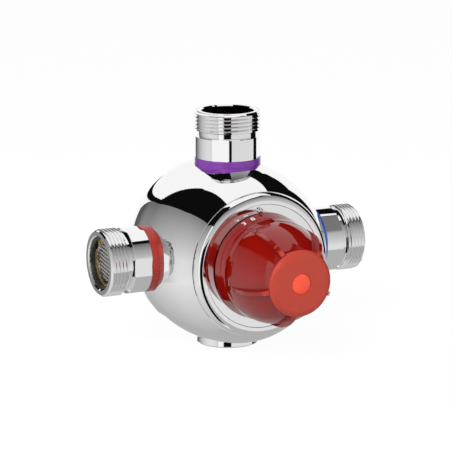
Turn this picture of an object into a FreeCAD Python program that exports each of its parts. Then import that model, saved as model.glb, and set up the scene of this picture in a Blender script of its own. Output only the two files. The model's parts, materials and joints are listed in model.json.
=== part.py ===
import FreeCAD, Part
import math
import operator
import os
from types import SimpleNamespace

import Sketcher

# Temperature-controlled mixing valve, in millimetres.
# The origin is where the centre lines of the ports and the knob cross, with +Z up.
# Hot water enters from -X, cold water from +X, mixed water leaves upwards and the knob faces -Y.
# Every piece is drawn from that crossing in a frame of its own, with +Z outwards along its own axis.

SIZES = {
    # Ball-shaped body, turned about the knob's axis
    "ball_radius": 57.9,
    "waist_length": 10.0,
    "shoulder_radius": 106.4,
    "shoulder_depth": 28.9,
    "brow_radius": 43.7,
    "front_face": 45.0,
    # Clearances
    "fit_gap": 0.1,
    "run_gap": 0.06,
    "free_gap": 0.3,
    "overcut": 1.0,
    # Cavity for the cartridge
    "cavity_radius": 24.0,
    "cavity_floor": 31.0,
    "sleeve_seat": 22.0,
    "nut_radius": 27.9,
    "nut_top": 40.4,
    "gallery_radius": 27.0,
    "hot_gallery_low": 12.0,
    "hot_gallery_high": 20.5,
    "cold_gallery_low": -5.0,
    "cold_gallery_high": 3.0,
    "mixed_gallery_low": -27.0,
    "mixed_gallery_high": -13.0,
    "passage_half_width": 7.5,
    "hot_passage_low": 9.6,
    "hot_passage_high": 15.6,
    "cold_passage_low": -4.0,
    "cold_passage_high": 2.0,
    "mixed_passage_low": -15.8,
    "mixed_passage_high": -10.6,
    # Unions with male pipe threads
    "inlet_reach": 88.0,
    "outlet_reach": 89.2,
    "thread_radius": 20.955,
    "thread_length": 12.6,
    "thread_chamfer": 1.3,
    "undercut_radius": 18.4,
    "undercut_length": 3.3,
    "wrench_radius": 20.55,
    "wrench_chamfer": 1.2,
    "wrench_flat": 18.0,
    "wrench_sides": 6,
    "mouth_radius": 16.4,
    "mouth_chamfer": 0.7,
    "shank_radius": 17.6,
    "shank_length": 12.8,
    "port_clearance": 1.0,
    "passage_radius": 14.0,
    "recess_depth": 4.1,
    "inlet_ring_width": 4.1,
    "outlet_ring_width": 5.8,
    "valve_seat_depth": 27.5,
    # Rubber cords and their grooves
    "cord_radius": 0.88,
    "groove_width": 2.4,
    "groove_depth": 1.8,
    "union_groove_depth": 6.2,
    # Non-return valves and filters in the two inlets
    "rim_depth": 2.0,
    "rim_bore": 14.9,
    "clip_groove_depth": 0.8,
    "clip_depth": 3.6,
    "clip_thickness": 1.0,
    "clip_width": 2.2,
    "clip_gap_degrees": 24.0,
    "lug_length": 2.4,
    "lug_width": 2.6,
    "filter_height": 2.4,
    "filter_rim": 2.0,
    "filter_foot": 0.5,
    "mesh_thickness": 0.5,
    "throat_radius": 10.0,
    "throat_length": 3.0,
    "seat_width": 1.8,
    "chamber_radius": 13.6,
    "guide_radius": 15.0,
    "guide_thickness": 4.0,
    "guide_hub_radius": 4.5,
    "guide_hub_height": 6.0,
    "guide_hole_radius": 2.9,
    "guide_hole_circle": 9.4,
    "guide_holes": 6,
    "stem_radius": 2.3,
    "stem_foot": 1.5,
    "poppet_radius": 11.4,
    "poppet_thickness": 2.0,
    "check_coil_radius": 5.7,
    "check_wire_half": 0.4,
    "check_turns": 4,
    # Bottom plug
    "plug_radius": 19.8,
    "plug_proud": 1.3,
    "plug_recess": 3.7,
    "plug_chamfer": 0.8,
    "plug_shank_radius": 15.95,
    "plug_shank_length": 10.2,
    "plug_groove_depth": 5.2,
    "plug_socket_flat": 6.0,
    "plug_socket_depth": 7.0,
    # Front collar
    "collar_radius": 45.2,
    "collar_land": 1.2,
    "collar_lip": 5.6,
    "collar_face": 50.7,
    "collar_face_radius": 40.9,
    "collar_recess": 0.3,
    "collar_recess_radius": 38.4,
    "collar_web": 3.2,
    "collar_wall": 4.0,
    "collar_bore": 26.0,
    "spigot_radius": 32.0,
    "spigot_wall": 2.4,
    "spigot_foot": 41.0,
    # Index pin on the collar
    "pin_across": -2.8,
    "pin_up": 35.3,
    "pin_ball_radius": 1.7,
    "pin_stem_radius": 1.0,
    "pin_stem_length": 2.6,
    # Cartridge nut and stop lugs
    "flange_thickness": 4.0,
    "nut_inner_radius": 20.0,
    "nut_plate": 40.0,
    "nut_head_radius": 25.0,
    "nut_head_top": 50.5,
    "nut_neck_radius": 11.0,
    "nut_neck_top": 57.0,
    "nut_groove": 33.0,
    "lug_inner": 12.0,
    "lug_outer": 16.2,
    "fixed_lug_half": 2.7,
    "fixed_lug_top": 62.5,
    "moving_lug_half": 2.9,
    "moving_lug_foot": 58.5,
    # Cartridge sleeve
    "sleeve_bore": 16.0,
    "sleeve_tube_radius": 19.6,
    "sleeve_top": 34.0,
    "sleeve_floor": 27.0,
    "sleeve_foot": 30.0,
    "front_groove": 8.0,
    "rear_groove": -9.0,
    "hot_window_low": 14.0,
    "hot_window_high": 20.0,
    "cold_window_low": -4.0,
    "cold_window_high": 2.0,
    "mixed_window_low": -26.0,
    "mixed_window_high": -14.0,
    "window_half_width": 4.5,
    "windows": 6,
    "keyway_half_width": 2.0,
    "keyway_radius": 18.0,
    "keyway_floor": 20.5,
    # Adjusting spindle
    "spindle_radius": 6.0,
    "spindle_screw_radius": 7.0,
    "spindle_foot": 23.0,
    "spindle_chamfer": 1.0,
    "spindle_flange_radius": 9.0,
    "spindle_flange_thickness": 3.0,
    "spindle_groove": 48.0,
    "spindle_cord_radius": 0.56,
    "square_half": 4.2,
    "spindle_top": 83.8,
    "screw_radius": 1.95,
    "screw_length": 16.0,
    "tapping_spare": 2.0,
    # Carrier, plunger and overtravel spring
    "carrier_top": 30.0,
    "carrier_shoulder": 22.6,
    "carrier_web": 22.0,
    "cup_radius": 12.0,
    "cup_bore": 10.6,
    "cup_foot": 11.5,
    "cup_lip": 1.0,
    "cup_lip_bore": 9.4,
    "key_foot": 23.0,
    "key_length": 6.5,
    "plunger_thickness": 2.0,
    "plunger_boss_radius": 7.2,
    "plunger_boss_height": 2.0,
    "overtravel_coil_radius": 8.9,
    "overtravel_wire_half": 0.6,
    "overtravel_turns": 4,
    # Mixing piston and sensing element
    "piston_low": 2.0,
    "piston_high": 14.0,
    "piston_wall": 1.8,
    "piston_web": 2.2,
    "piston_holes": 6,
    "piston_hole_radius": 2.1,
    "piston_hole_circle": 9.0,
    "element_radius": 6.0,
    "element_foot": -24.0,
    "element_chamfer": 1.5,
    "element_flange_radius": 8.4,
    "element_flange_thickness": 2.0,
    "element_nose_radius": 4.6,
    "element_nose_length": 4.5,
    "element_pin_radius": 1.8,
    "return_coil_radius": 12.4,
    "return_wire_half": 0.7,
    "return_turns": 6,
    # Knob
    "skirt_radius": 33.3,
    "skirt_lift": 0.8,
    "skirt_edge": 0.6,
    "lip_radius": 31.9,
    "lip_depth": 62.0,
    "dome_start": 65.0,
    "dome_radius": 40.0,
    "neck_depth": 94.4,
    "neck_fillet": 2.7,
    "neck_rise": 3.4,
    "cap_radius": 20.4,
    "cap_flare": 0.4,
    "cap_face": 101.4,
    "cap_edge_width": 3.9,
    "cap_edge_drop": 2.2,
    "knob_wall": 2.2,
    "knob_cavity_top": 91.0,
    "hub_radius": 10.0,
    "hub_shoulder_radius": 13.2,
    "hub_shoulder": 68.0,
    "stop_ring_radius": 16.2,
    "stop_ring_thickness": 4.0,
    "socket_top": 84.0,
    "screw_seat": 88.0,
    "well_radius": 5.0,
    "button_radius": 6.15,
    "button_seat": 98.5,
    "button_edge": 101.0,
    "button_crown": 102.2,
    "button_stem_length": 3.4,
    "screw_head_radius": 3.8,
    "screw_head_height": 3.0,
    # Grip fins and thumb notches of the knob
    "fins": 5,
    "fin_thickness": 2.6,
    "fin_foot": 66.5,
    "fin_peak": 84.0,
    "fin_peak_radius": 30.5,
    "fin_back_arc": 90.0,
    "fin_tip_arc": 26.0,
    "fin_end": 97.6,
    "fin_end_radius": 20.2,
    "notch_half_width": 5.3,
    "notch_side": 3.4,
    "notch_height": 8.3,
    "notch_floor": 30.3,
    "notch_degrees": -20.0,
}

# How each piece's own +Z lies in the row's frame
TURNED = {
    "front": FreeCAD.Rotation(FreeCAD.Vector(1, 0, 0), 90),
    "left": FreeCAD.Rotation(FreeCAD.Vector(0, 1, 0), -90),
    "right": FreeCAD.Rotation(FreeCAD.Vector(0, 1, 0), 90),
    "up": FreeCAD.Rotation(),
    "down": FreeCAD.Rotation(FreeCAD.Vector(1, 0, 0), 180),
}
SPUN = FreeCAD.Vector(0, 0, 1)

# Where the knob's first fin points, seen from the front, and how each union's flats came to lie
KNOB_TURN = 120.0
UNION_TURN = {"hot": -18.0, "cold": 30.0, "mixed": 40.0}
CLIP_TURN = {"hot": 40.0, "cold": 140.0}
PORTS = {"hot": "left", "cold": "right", "mixed": "up"}
REACH = {"hot": "inlet_reach", "cold": "inlet_reach", "mixed": "outlet_reach"}
RING_WIDTH = {"hot": "inlet_ring_width", "cold": "inlet_ring_width", "mixed": "outlet_ring_width"}


class Size:
    """A size that carries its number and the formula that sets it."""

    def __init__(self, number, formula):
        self.number = float(number)
        self.formula = formula

    def __add__(self, other):
        return combined(self, other, operator.add, "+")

    def __radd__(self, other):
        return combined(other, self, operator.add, "+")

    def __sub__(self, other):
        return combined(self, other, operator.sub, "-")

    def __rsub__(self, other):
        return combined(other, self, operator.sub, "-")

    def __mul__(self, other):
        return combined(self, other, operator.mul, "*")

    def __rmul__(self, other):
        return combined(other, self, operator.mul, "*")

    def __truediv__(self, other):
        return combined(self, other, operator.truediv, "/")

    def __neg__(self):
        return combined(0, self, operator.sub, "-")


def as_size(value):
    """Any plain number as a Size."""
    if isinstance(value, Size):
        return value
    return Size(value, repr(float(value)))


def combined(first, second, operation, sign):
    """Two sizes joined by one sign of arithmetic."""
    first, second = as_size(first), as_size(second)
    number = operation(first.number, second.number)
    return Size(number, f"({first.formula} {sign} {second.formula})")


def root(value):
    """The square root of a size."""
    return Size(math.sqrt(value.number), f"sqrt({value.formula})")


def leg(long_side, short_side):
    """The third side of a right-angled triangle."""
    return root(long_side * long_side - short_side * short_side)


def bow_radius(half_chord, height):
    """The radius of an arc that rises by a height over half its chord."""
    return (half_chord * half_chord + height * height) / (height * 2)


doc = FreeCAD.newDocument("mixing_valve")
sheet = doc.addObject("Spreadsheet::Sheet", "Sizes")
for row, (alias, number) in enumerate(SIZES.items(), start=1):
    sheet.set(f"A{row}", alias)
    sheet.set(f"B{row}", str(number))
    sheet.setAlias(f"B{row}", alias)
doc.recompute()
s = SimpleNamespace(**{alias: Size(number, f"Sizes.{alias}") for alias, number in SIZES.items()})
pieces = []


def bind(target, name, value):
    """Set one property of an object from a size."""
    target.setExpression(name, as_size(value).formula)


def lay(piece, direction, spin=0.0):
    """Turn a piece's own +Z along one direction from the ports' crossing."""
    turn = TURNED[direction].multiply(FreeCAD.Rotation(SPUN, spin))
    piece.Placement = FreeCAD.Placement(FreeCAD.Vector(), turn)
    pieces.append(piece)


def new_body(label, direction, spin=0.0):
    body = doc.addObject("PartDesign::Body", label)
    body.Label = label
    lay(body, direction, spin)
    return body


def origin_part(body, role):
    return next(part for part in body.Origin.OriginFeatures if part.Role == role)


def arc_to(across, along, radius, side):
    """An arc to a point, with its centre on the left (+1) or right (-1) of the way there."""
    return (across, along, radius, side)


def sketch_on(body, plane, offset=Size(0, "0.0"), turn=0.0):
    """An empty sketch on one of the body's planes, moved along its normal and turned about its +Z."""
    sketch = body.newObject("Sketcher::SketchObject", "Sketch")
    sketch.AttachmentSupport = (origin_part(body, plane), [""])
    sketch.MapMode = "FlatFace"
    swing = FreeCAD.Rotation(FreeCAD.Vector(0, 1, 0), turn)
    sketch.AttachmentOffset = FreeCAD.Placement(FreeCAD.Vector(), swing)
    normal = swing.multVec(SPUN)
    bind(sketch, "AttachmentOffset.Base.x", offset * normal.x)
    bind(sketch, "AttachmentOffset.Base.z", offset * normal.z)
    return sketch


def arc_between(start, end, radius, side):
    """The short arc between two points of the sketch."""
    chord = end - start
    height = math.sqrt(max(radius * radius - chord.Length * chord.Length / 4, 0))
    normal = FreeCAD.Vector(-chord.y, chord.x, 0).normalize()
    centre = start + chord * 0.5 + normal * height * side
    circle = Part.Circle(centre, FreeCAD.Vector(0, 0, 1), radius)
    first, last = (start, end) if side > 0 else (end, start)
    return Part.ArcOfCircle(circle, circle.parameter(first), circle.parameter(last))


def draw(sketch, outline):
    """A closed outline whose corners each keep their two distances from the origin."""
    sizes = [[as_size(value) for value in corner[:3]] for corner in outline]
    points = [FreeCAD.Vector(corner[0].number, corner[1].number, 0) for corner in sizes]
    count = len(points)
    ends = []
    for index in range(count):
        start, end = points[index], points[(index + 1) % count]
        corner = outline[(index + 1) % count]
        if len(corner) == 4:
            radius = sizes[(index + 1) % count][2]
            edge = sketch.addGeometry(arc_between(start, end, radius.number, corner[3]), False)
            ends.append((edge, 1, 2) if corner[3] > 0 else (edge, 2, 1))
            rule = sketch.addConstraint(Sketcher.Constraint("Radius", edge, radius.number))
            bind(sketch, f"Constraints[{rule}]", radius)
        else:
            edge = sketch.addGeometry(Part.LineSegment(start, end), False)
            ends.append((edge, 1, 2))
    for index in range(count):
        edge, _, finish = ends[index]
        after, begin, _ = ends[(index + 1) % count]
        sketch.addConstraint(Sketcher.Constraint("Coincident", edge, finish, after, begin))
    for index in range(count):
        edge, begin, _ = ends[index]
        for kind, axis, value in (("DistanceX", -2, sizes[index][0]), ("DistanceY", -1, sizes[index][1])):
            if value.formula == "0.0":
                sketch.addConstraint(Sketcher.Constraint("PointOnObject", edge, begin, axis))
                continue
            rule = sketch.addConstraint(Sketcher.Constraint(kind, -1, 1, edge, begin, value.number))
            bind(sketch, f"Constraints[{rule}]", value)
    return sketch


def draw_circle(sketch, across, along, radius):
    """One circle, held by its centre and radius."""
    centre = FreeCAD.Vector(as_size(across).number, as_size(along).number, 0)
    circle = sketch.addGeometry(Part.Circle(centre, FreeCAD.Vector(0, 0, 1), radius.number), False)
    rule = sketch.addConstraint(Sketcher.Constraint("Radius", circle, radius.number))
    bind(sketch, f"Constraints[{rule}]", radius)
    for kind, axis, value in (("DistanceX", -2, as_size(across)), ("DistanceY", -1, as_size(along))):
        if value.formula == "0.0":
            sketch.addConstraint(Sketcher.Constraint("PointOnObject", circle, 3, axis))
            continue
        rule = sketch.addConstraint(Sketcher.Constraint(kind, -1, 1, circle, 3, value.number))
        bind(sketch, f"Constraints[{rule}]", value)
    return sketch


def revolved(body, kind, sketch, axis, degrees=360.0, reverse=False):
    feature = body.newObject(kind, "Turned")
    feature.Profile = sketch
    feature.ReferenceAxis = (sketch, [axis])
    if isinstance(degrees, Size):
        bind(feature, "Angle", degrees)
    else:
        feature.Angle = degrees
    feature.Reversed = reverse
    return feature


def turned(label, direction, outline, spin=0.0):
    """A piece turned about its own Z axis, from its (radius, height) outline."""
    body = new_body(label, direction, spin)
    revolved(body, "PartDesign::Revolution", draw(sketch_on(body, "XZ_Plane"), outline), "V_Axis")
    return body


def grooved(body, outline):
    """Cut a turned hollow about the body's own Z axis."""
    return revolved(body, "PartDesign::Groove", draw(sketch_on(body, "XZ_Plane"), outline), "V_Axis")


def extruded(body, kind, sketch, length, reverse=False, midplane=False):
    feature = body.newObject(kind, "Extruded")
    feature.Profile = sketch
    bind(feature, "Length", length)
    feature.Midplane = midplane
    feature.Reversed = reverse
    return feature


def repeated(body, features, count):
    """Copies of features, evenly round the body's own Z axis."""
    pattern = body.newObject("PartDesign::PolarPattern", "Repeated")
    pattern.Originals = features
    pattern.Axis = (origin_part(body, "Z_Axis"), [""])
    pattern.Angle = 360
    bind(pattern, "Occurrences", count)
    body.Tip = pattern
    return pattern


def box_outline(left, right, low, high):
    return [(left, low), (right, low), (right, high), (left, high)]


def seal(label, direction, ring_radius, height, cord_radius):
    """A rubber ring of round cord."""
    ring = doc.addObject("Part::Torus", label)
    ring.Label = label
    bind(ring, "Radius1", ring_radius)
    bind(ring, "Radius2", cord_radius)
    axis = TURNED[direction].multVec(SPUN)
    ring.Placement = FreeCAD.Placement(axis * height.number, TURNED[direction])
    for name, share in (("x", axis.x), ("y", axis.y), ("z", axis.z)):
        bind(ring, f"Placement.Base.{name}", height * round(share))
    pieces.append(ring)
    return ring


def coil(label, direction, coil_radius, wire_half, low, high, turns):
    """A spring of square wire between two seats."""
    body = new_body(label, direction)
    first = low + wire_half + s.fit_gap
    last = high - wire_half - s.fit_gap
    section = box_outline(coil_radius - wire_half, coil_radius + wire_half, first - wire_half, first + wire_half)
    sketch = draw(sketch_on(body, "XZ_Plane"), section)
    helix = body.newObject("PartDesign::AdditiveHelix", "Coil")
    helix.Profile = sketch
    helix.ReferenceAxis = (sketch, ["V_Axis"])
    helix.Mode = 0
    bind(helix, "Pitch", (last - first) / turns)
    bind(helix, "Height", last - first)
    return body


def groove_steps(radius, height, width, depth):
    """The four corners of a cord groove, from its high edge to its low one."""
    high, low, floor = height + width / 2, height - width / 2, radius - depth
    return [(radius, high), (floor, high), (floor, low), (radius, low)]


# Ball-shaped body, with the cartridge cavity, its three galleries and four ports
arc_root = leg(s.shoulder_radius, s.shoulder_depth)
shoulder_edge = s.ball_radius - s.shoulder_radius + arc_root
brow_share = s.brow_radius / s.shoulder_radius
brow_centre_across = shoulder_edge - arc_root * brow_share
brow_centre_depth = s.shoulder_depth - s.shoulder_depth * brow_share
front_edge = brow_centre_across + leg(s.brow_radius, s.front_face - brow_centre_depth)

valve_body = turned("valve_body", "front", [
    (0, -(s.ball_radius + s.waist_length)),
    arc_to(s.ball_radius, -s.waist_length, s.ball_radius, 1),
    (s.ball_radius, 0),
    arc_to(shoulder_edge, s.shoulder_depth, s.shoulder_radius, 1),
    arc_to(front_edge, s.front_face, s.brow_radius, 1),
    (0, s.front_face),
])
nut_bore = s.nut_radius + s.fit_gap
spigot_bore = s.spigot_radius + s.fit_gap
above_front = s.front_face + s.overcut
grooved(valve_body, [
    (0, -s.cavity_floor),
    (s.cavity_radius, -s.cavity_floor),
    (s.cavity_radius, s.mixed_gallery_low),
    (s.gallery_radius, s.mixed_gallery_low),
    (s.gallery_radius, s.mixed_gallery_high),
    (s.cavity_radius, s.mixed_gallery_high),
    (s.cavity_radius, s.cold_gallery_low),
    (s.gallery_radius, s.cold_gallery_low),
    (s.gallery_radius, s.cold_gallery_high),
    (s.cavity_radius, s.cold_gallery_high),
    (s.cavity_radius, s.hot_gallery_low),
    (s.gallery_radius, s.hot_gallery_low),
    (s.gallery_radius, s.hot_gallery_high),
    (s.cavity_radius, s.hot_gallery_high),
    (s.cavity_radius, s.sleeve_seat),
    (nut_bore, s.sleeve_seat),
    (nut_bore, s.nut_top),
    (spigot_bore, s.nut_top),
    (spigot_bore, above_front),
    (0, above_front),
])


def port_bore(side_axis, sign, floor, bore, seat, seat_radius):
    """A stepped bore in from the ball's skin, along the body's own X or Y axis."""
    steps = [(floor, 0), (floor, bore), (seat, bore), (seat, seat_radius)]
    outside = s.ball_radius + s.overcut
    steps += [(outside, seat_radius), (outside, 0)]
    if side_axis == "H_Axis":
        outline = [(sign * along, across) for along, across in steps]
    else:
        outline = [(across, sign * along) for along, across in steps]
    sketch = draw(sketch_on(valve_body, "XY_Plane"), outline)
    revolved(valve_body, "PartDesign::Groove", sketch, side_axis)


ring_seat = s.ball_radius - s.recess_depth
shank_foot = ring_seat - s.shank_length
port_floor = shank_foot - s.port_clearance
shank_bore = s.shank_radius + s.fit_gap
ring_recess = s.wrench_radius + s.fit_gap
port_bore("H_Axis", -1, port_floor, shank_bore, ring_seat, ring_recess)
port_bore("H_Axis", 1, port_floor, shank_bore, ring_seat, ring_recess)
port_bore("V_Axis", 1, port_floor, shank_bore, ring_seat, ring_recess)
plug_seat = s.ball_radius - s.plug_recess
plug_face = s.ball_radius + s.plug_proud
plug_shank_foot = plug_seat - s.plug_shank_length
plug_bore = s.plug_shank_radius + s.fit_gap
port_bore("V_Axis", -1, plug_shank_foot - s.free_gap, plug_bore, plug_seat, s.plug_radius + s.fit_gap)

# Slots that lead each port to its gallery
for plane, low, high, reverse in (
    ("YZ_Plane", s.hot_passage_low, s.hot_passage_high, False),
    ("YZ_Plane", s.cold_passage_low, s.cold_passage_high, True),
    ("XZ_Plane", s.mixed_passage_low, s.mixed_passage_high, False),
):
    slot = draw(sketch_on(valve_body, plane), box_outline(-s.passage_half_width, s.passage_half_width, low, high))
    extruded(valve_body, "PartDesign::Pocket", slot, port_floor + s.overcut, reverse)


def union(name):
    """A union: shank with a seal groove, wrench flats, undercut and male pipe thread."""
    mouth = getattr(s, REACH[name])
    thread_start = mouth - s.thread_length
    wrench_end = thread_start - s.undercut_length
    wrench_start = ring_seat + getattr(s, RING_WIDTH[name])
    thread_root = s.thread_radius - s.thread_chamfer
    wrench_edge = s.wrench_radius - s.wrench_chamfer
    seat = mouth - s.valve_seat_depth
    cord_height = ring_seat - s.union_groove_depth
    groove = reversed(groove_steps(s.shank_radius, cord_height, s.groove_width, s.groove_depth))
    body = turned(f"{name}_union", PORTS[name], [
        (s.passage_radius, shank_foot),
        (s.shank_radius, shank_foot),
        *groove,
        (s.shank_radius, wrench_start),
        (wrench_edge, wrench_start),
        (s.wrench_radius, wrench_start + s.wrench_chamfer),
        (s.wrench_radius, wrench_end - s.wrench_chamfer),
        (wrench_edge, wrench_end),
        (s.undercut_radius, wrench_end),
        (s.undercut_radius, thread_start),
        (thread_root, thread_start),
        (s.thread_radius, thread_start + s.thread_chamfer / 2),
        (s.thread_radius, mouth - s.thread_chamfer),
        (thread_root, mouth),
        (s.mouth_radius + s.mouth_chamfer, mouth),
        (s.mouth_radius, mouth - s.mouth_chamfer),
        (s.mouth_radius, seat),
        (s.passage_radius, seat),
    ], UNION_TURN[name])
    half_flat = s.wrench_radius
    flat = box_outline(s.wrench_flat, s.wrench_radius + s.overcut, -half_flat, half_flat)
    sketch = draw(sketch_on(body, "XY_Plane", wrench_start), flat)
    cut = extruded(body, "PartDesign::Pocket", sketch, wrench_end - wrench_start, True)
    repeated(body, [cut], s.wrench_sides)
    ring_bore = s.shank_radius + s.fit_gap
    turned(f"{name}_ring", PORTS[name], [
        (ring_bore, ring_seat),
        (s.wrench_radius, ring_seat),
        (s.wrench_radius, wrench_start),
        (ring_bore, wrench_start),
    ])
    cord_centre = s.shank_radius - s.cord_radius + s.fit_gap / 2
    seal(f"{name}_union_seal", PORTS[name], cord_centre, cord_height, s.cord_radius)


def check_valve(name):
    """A non-return valve with its filter, held in an inlet's mouth."""
    mouth = getattr(s, REACH[name])
    side = PORTS[name]
    foot = mouth - s.valve_seat_depth
    outer = s.mouth_radius - s.fit_gap
    rim = mouth - s.rim_depth
    clip_high = mouth - s.clip_depth
    clip_low = clip_high - s.clip_thickness
    clip_radius = s.rim_bore + s.clip_groove_depth
    filter_seat = clip_low - s.filter_height
    throat_low = filter_seat - s.throat_length
    seat_low = throat_low - s.seat_width
    seat_radius = s.throat_radius + s.seat_width
    guide_high = foot + s.guide_thickness
    turned(f"{name}_check_body", side, [
        (s.guide_radius, foot),
        (outer, foot),
        (outer, rim),
        (s.rim_bore, rim),
        (s.rim_bore, clip_high + s.fit_gap),
        (clip_radius, clip_high + s.fit_gap),
        (clip_radius, clip_low),
        (s.rim_bore, clip_low),
        (s.rim_bore, filter_seat),
        (s.throat_radius, filter_seat),
        (s.throat_radius, throat_low),
        (seat_radius, seat_low),
        (s.chamber_radius, seat_low),
        (s.chamber_radius, guide_high),
        (s.guide_radius, guide_high),
    ])

    stem_bore = s.stem_radius + s.run_gap
    guide = turned(f"{name}_check_guide", side, [
        (stem_bore, foot),
        (s.guide_radius - s.fit_gap, foot),
        (s.guide_radius - s.fit_gap, guide_high),
        (s.guide_hub_radius, guide_high),
        (s.guide_hub_radius, foot + s.guide_hub_height),
        (stem_bore, foot + s.guide_hub_height),
    ])
    hole = draw_circle(sketch_on(guide, "XY_Plane", foot), s.guide_hole_circle, 0, s.guide_hole_radius)
    cut = extruded(guide, "PartDesign::Pocket", hole, s.guide_thickness + s.overcut, True)
    repeated(guide, [cut], s.guide_holes)

    # The cone keeps free_gap from its 45 degree seat, measured square to it
    cone_sum = seat_radius + seat_low - s.free_gap * math.sqrt(2)
    rim_high = cone_sum - s.poppet_radius
    back = rim_high - s.poppet_thickness
    nose_radius = s.throat_radius - 2 * s.free_gap
    nose_high = cone_sum - nose_radius
    turned(f"{name}_check_poppet", side, [
        (0, foot + s.stem_foot),
        (s.stem_radius, foot + s.stem_foot),
        (s.stem_radius, back),
        (s.poppet_radius, back),
        (s.poppet_radius, rim_high),
        (nose_radius, nose_high),
        (0, nose_high + s.free_gap),
    ])
    coil(f"{name}_check_spring", side, s.check_coil_radius, s.check_wire_half, guide_high, back, s.check_turns)

    filter_outer = s.rim_bore - s.fit_gap
    mesh_low = filter_seat + s.filter_foot
    mesh_high = mesh_low + s.mesh_thickness
    turned(f"{name}_filter", side, [
        (0, mesh_low),
        (filter_outer - s.filter_rim, mesh_low),
        (filter_outer - s.filter_rim, filter_seat),
        (filter_outer, filter_seat),
        (filter_outer, clip_low),
        (filter_outer - s.filter_rim / 2, clip_low),
        (filter_outer - s.filter_rim / 2, mesh_high),
        (0, mesh_high),
    ])

    clip = new_body(f"{name}_snap_ring", side, CLIP_TURN[name])
    clip_outer = clip_radius - s.fit_gap
    clip_inner = clip_outer - s.clip_width
    section = draw(sketch_on(clip, "XZ_Plane"), box_outline(clip_inner, clip_outer, clip_low, clip_high))
    revolved(clip, "PartDesign::Revolution", section, "V_Axis", 360 - s.clip_gap_degrees, True)
    lug = box_outline(clip_inner - s.lug_length, clip_inner + s.clip_width / 2, -s.lug_width, 0)
    extruded(clip, "PartDesign::Pad", draw(sketch_on(clip, "XY_Plane", clip_low), lug), s.clip_thickness)


for port in PORTS:
    union(port)
for port in ("hot", "cold"):
    check_valve(port)

# Bottom plug with a hexagon socket for its key
plug_groove = plug_seat - s.plug_groove_depth
plug = turned("bottom_plug", "down", [
    (0, plug_shank_foot),
    (s.plug_shank_radius, plug_shank_foot),
    *reversed(groove_steps(s.plug_shank_radius, plug_groove, s.groove_width, s.groove_depth)),
    (s.plug_shank_radius, plug_seat),
    (s.plug_radius, plug_seat),
    (s.plug_radius, plug_face - s.plug_chamfer),
    (s.plug_radius - s.plug_chamfer, plug_face),
    (0, plug_face),
])
half_side = s.plug_socket_flat / math.sqrt(3)
socket = draw(sketch_on(plug, "XY_Plane", plug_face), [
    (2 * half_side, 0),
    (half_side, s.plug_socket_flat),
    (-half_side, s.plug_socket_flat),
    (-2 * half_side, 0),
    (-half_side, -s.plug_socket_flat),
    (half_side, -s.plug_socket_flat),
])
extruded(plug, "PartDesign::Pocket", socket, s.plug_socket_depth)
plug_cord = s.plug_shank_radius - s.cord_radius + s.fit_gap / 2
seal("plug_seal", "down", plug_cord, plug_groove, s.cord_radius)

# Front collar: polished lip, flat face in a shallow recess, and a spigot into the body
recess_face = s.collar_face - s.collar_recess
web_back = recess_face - s.collar_web
collar = turned("front_collar", "front", [
    (s.collar_bore, recess_face),
    (s.collar_bore, web_back),
    (s.spigot_radius - s.spigot_wall, web_back),
    (s.spigot_radius - s.spigot_wall, s.spigot_foot),
    (s.spigot_radius, s.spigot_foot),
    (s.spigot_radius, web_back),
    (s.collar_radius - s.collar_wall, web_back),
    (s.collar_radius - s.collar_wall, s.front_face),
    (s.collar_radius, s.front_face),
    (s.collar_radius, s.front_face + s.collar_land),
    arc_to(s.collar_face_radius, s.collar_face, s.collar_lip, 1),
    (s.collar_recess_radius + s.collar_recess, s.collar_face),
    (s.collar_recess_radius, recess_face),
])
pin_hole = draw_circle(sketch_on(collar, "XY_Plane", recess_face), s.pin_across, s.pin_up,
                       s.pin_stem_radius + s.fit_gap / 2)
extruded(collar, "PartDesign::Pocket", pin_hole, s.pin_stem_length + s.free_gap)

# Index pin: a small ball on a stem in the collar's face
index_pin = new_body("index_pin", "front")
ball_height = recess_face + leg(s.pin_ball_radius, s.pin_stem_radius)
pin_sketch = sketch_on(index_pin, "XZ_Plane", -s.pin_up)
draw(pin_sketch, [
    (s.pin_across, recess_face - s.pin_stem_length),
    (s.pin_across + s.pin_stem_radius, recess_face - s.pin_stem_length),
    (s.pin_across + s.pin_stem_radius, recess_face),
    arc_to(s.pin_across + s.pin_ball_radius, ball_height, s.pin_ball_radius, 1),
    arc_to(s.pin_across, ball_height + s.pin_ball_radius, s.pin_ball_radius, 1),
])
axis_line = Part.LineSegment(FreeCAD.Vector(SIZES["pin_across"], 0, 0), FreeCAD.Vector(SIZES["pin_across"], 1, 0))
pin_axis = pin_sketch.addGeometry(axis_line, True)
pin_sketch.addConstraint(Sketcher.Constraint("Vertical", pin_axis))
pin_sketch.addConstraint(Sketcher.Constraint("PointOnObject", pin_axis, 1, -1))
pin_sketch.addConstraint(Sketcher.Constraint("Distance", pin_axis, 1.0))
rule = pin_sketch.addConstraint(Sketcher.Constraint("DistanceX", -1, 1, pin_axis, 1, SIZES["pin_across"]))
bind(pin_sketch, f"Constraints[{rule}]", s.pin_across)
revolved(index_pin, "PartDesign::Revolution", pin_sketch, "Axis0")

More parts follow.
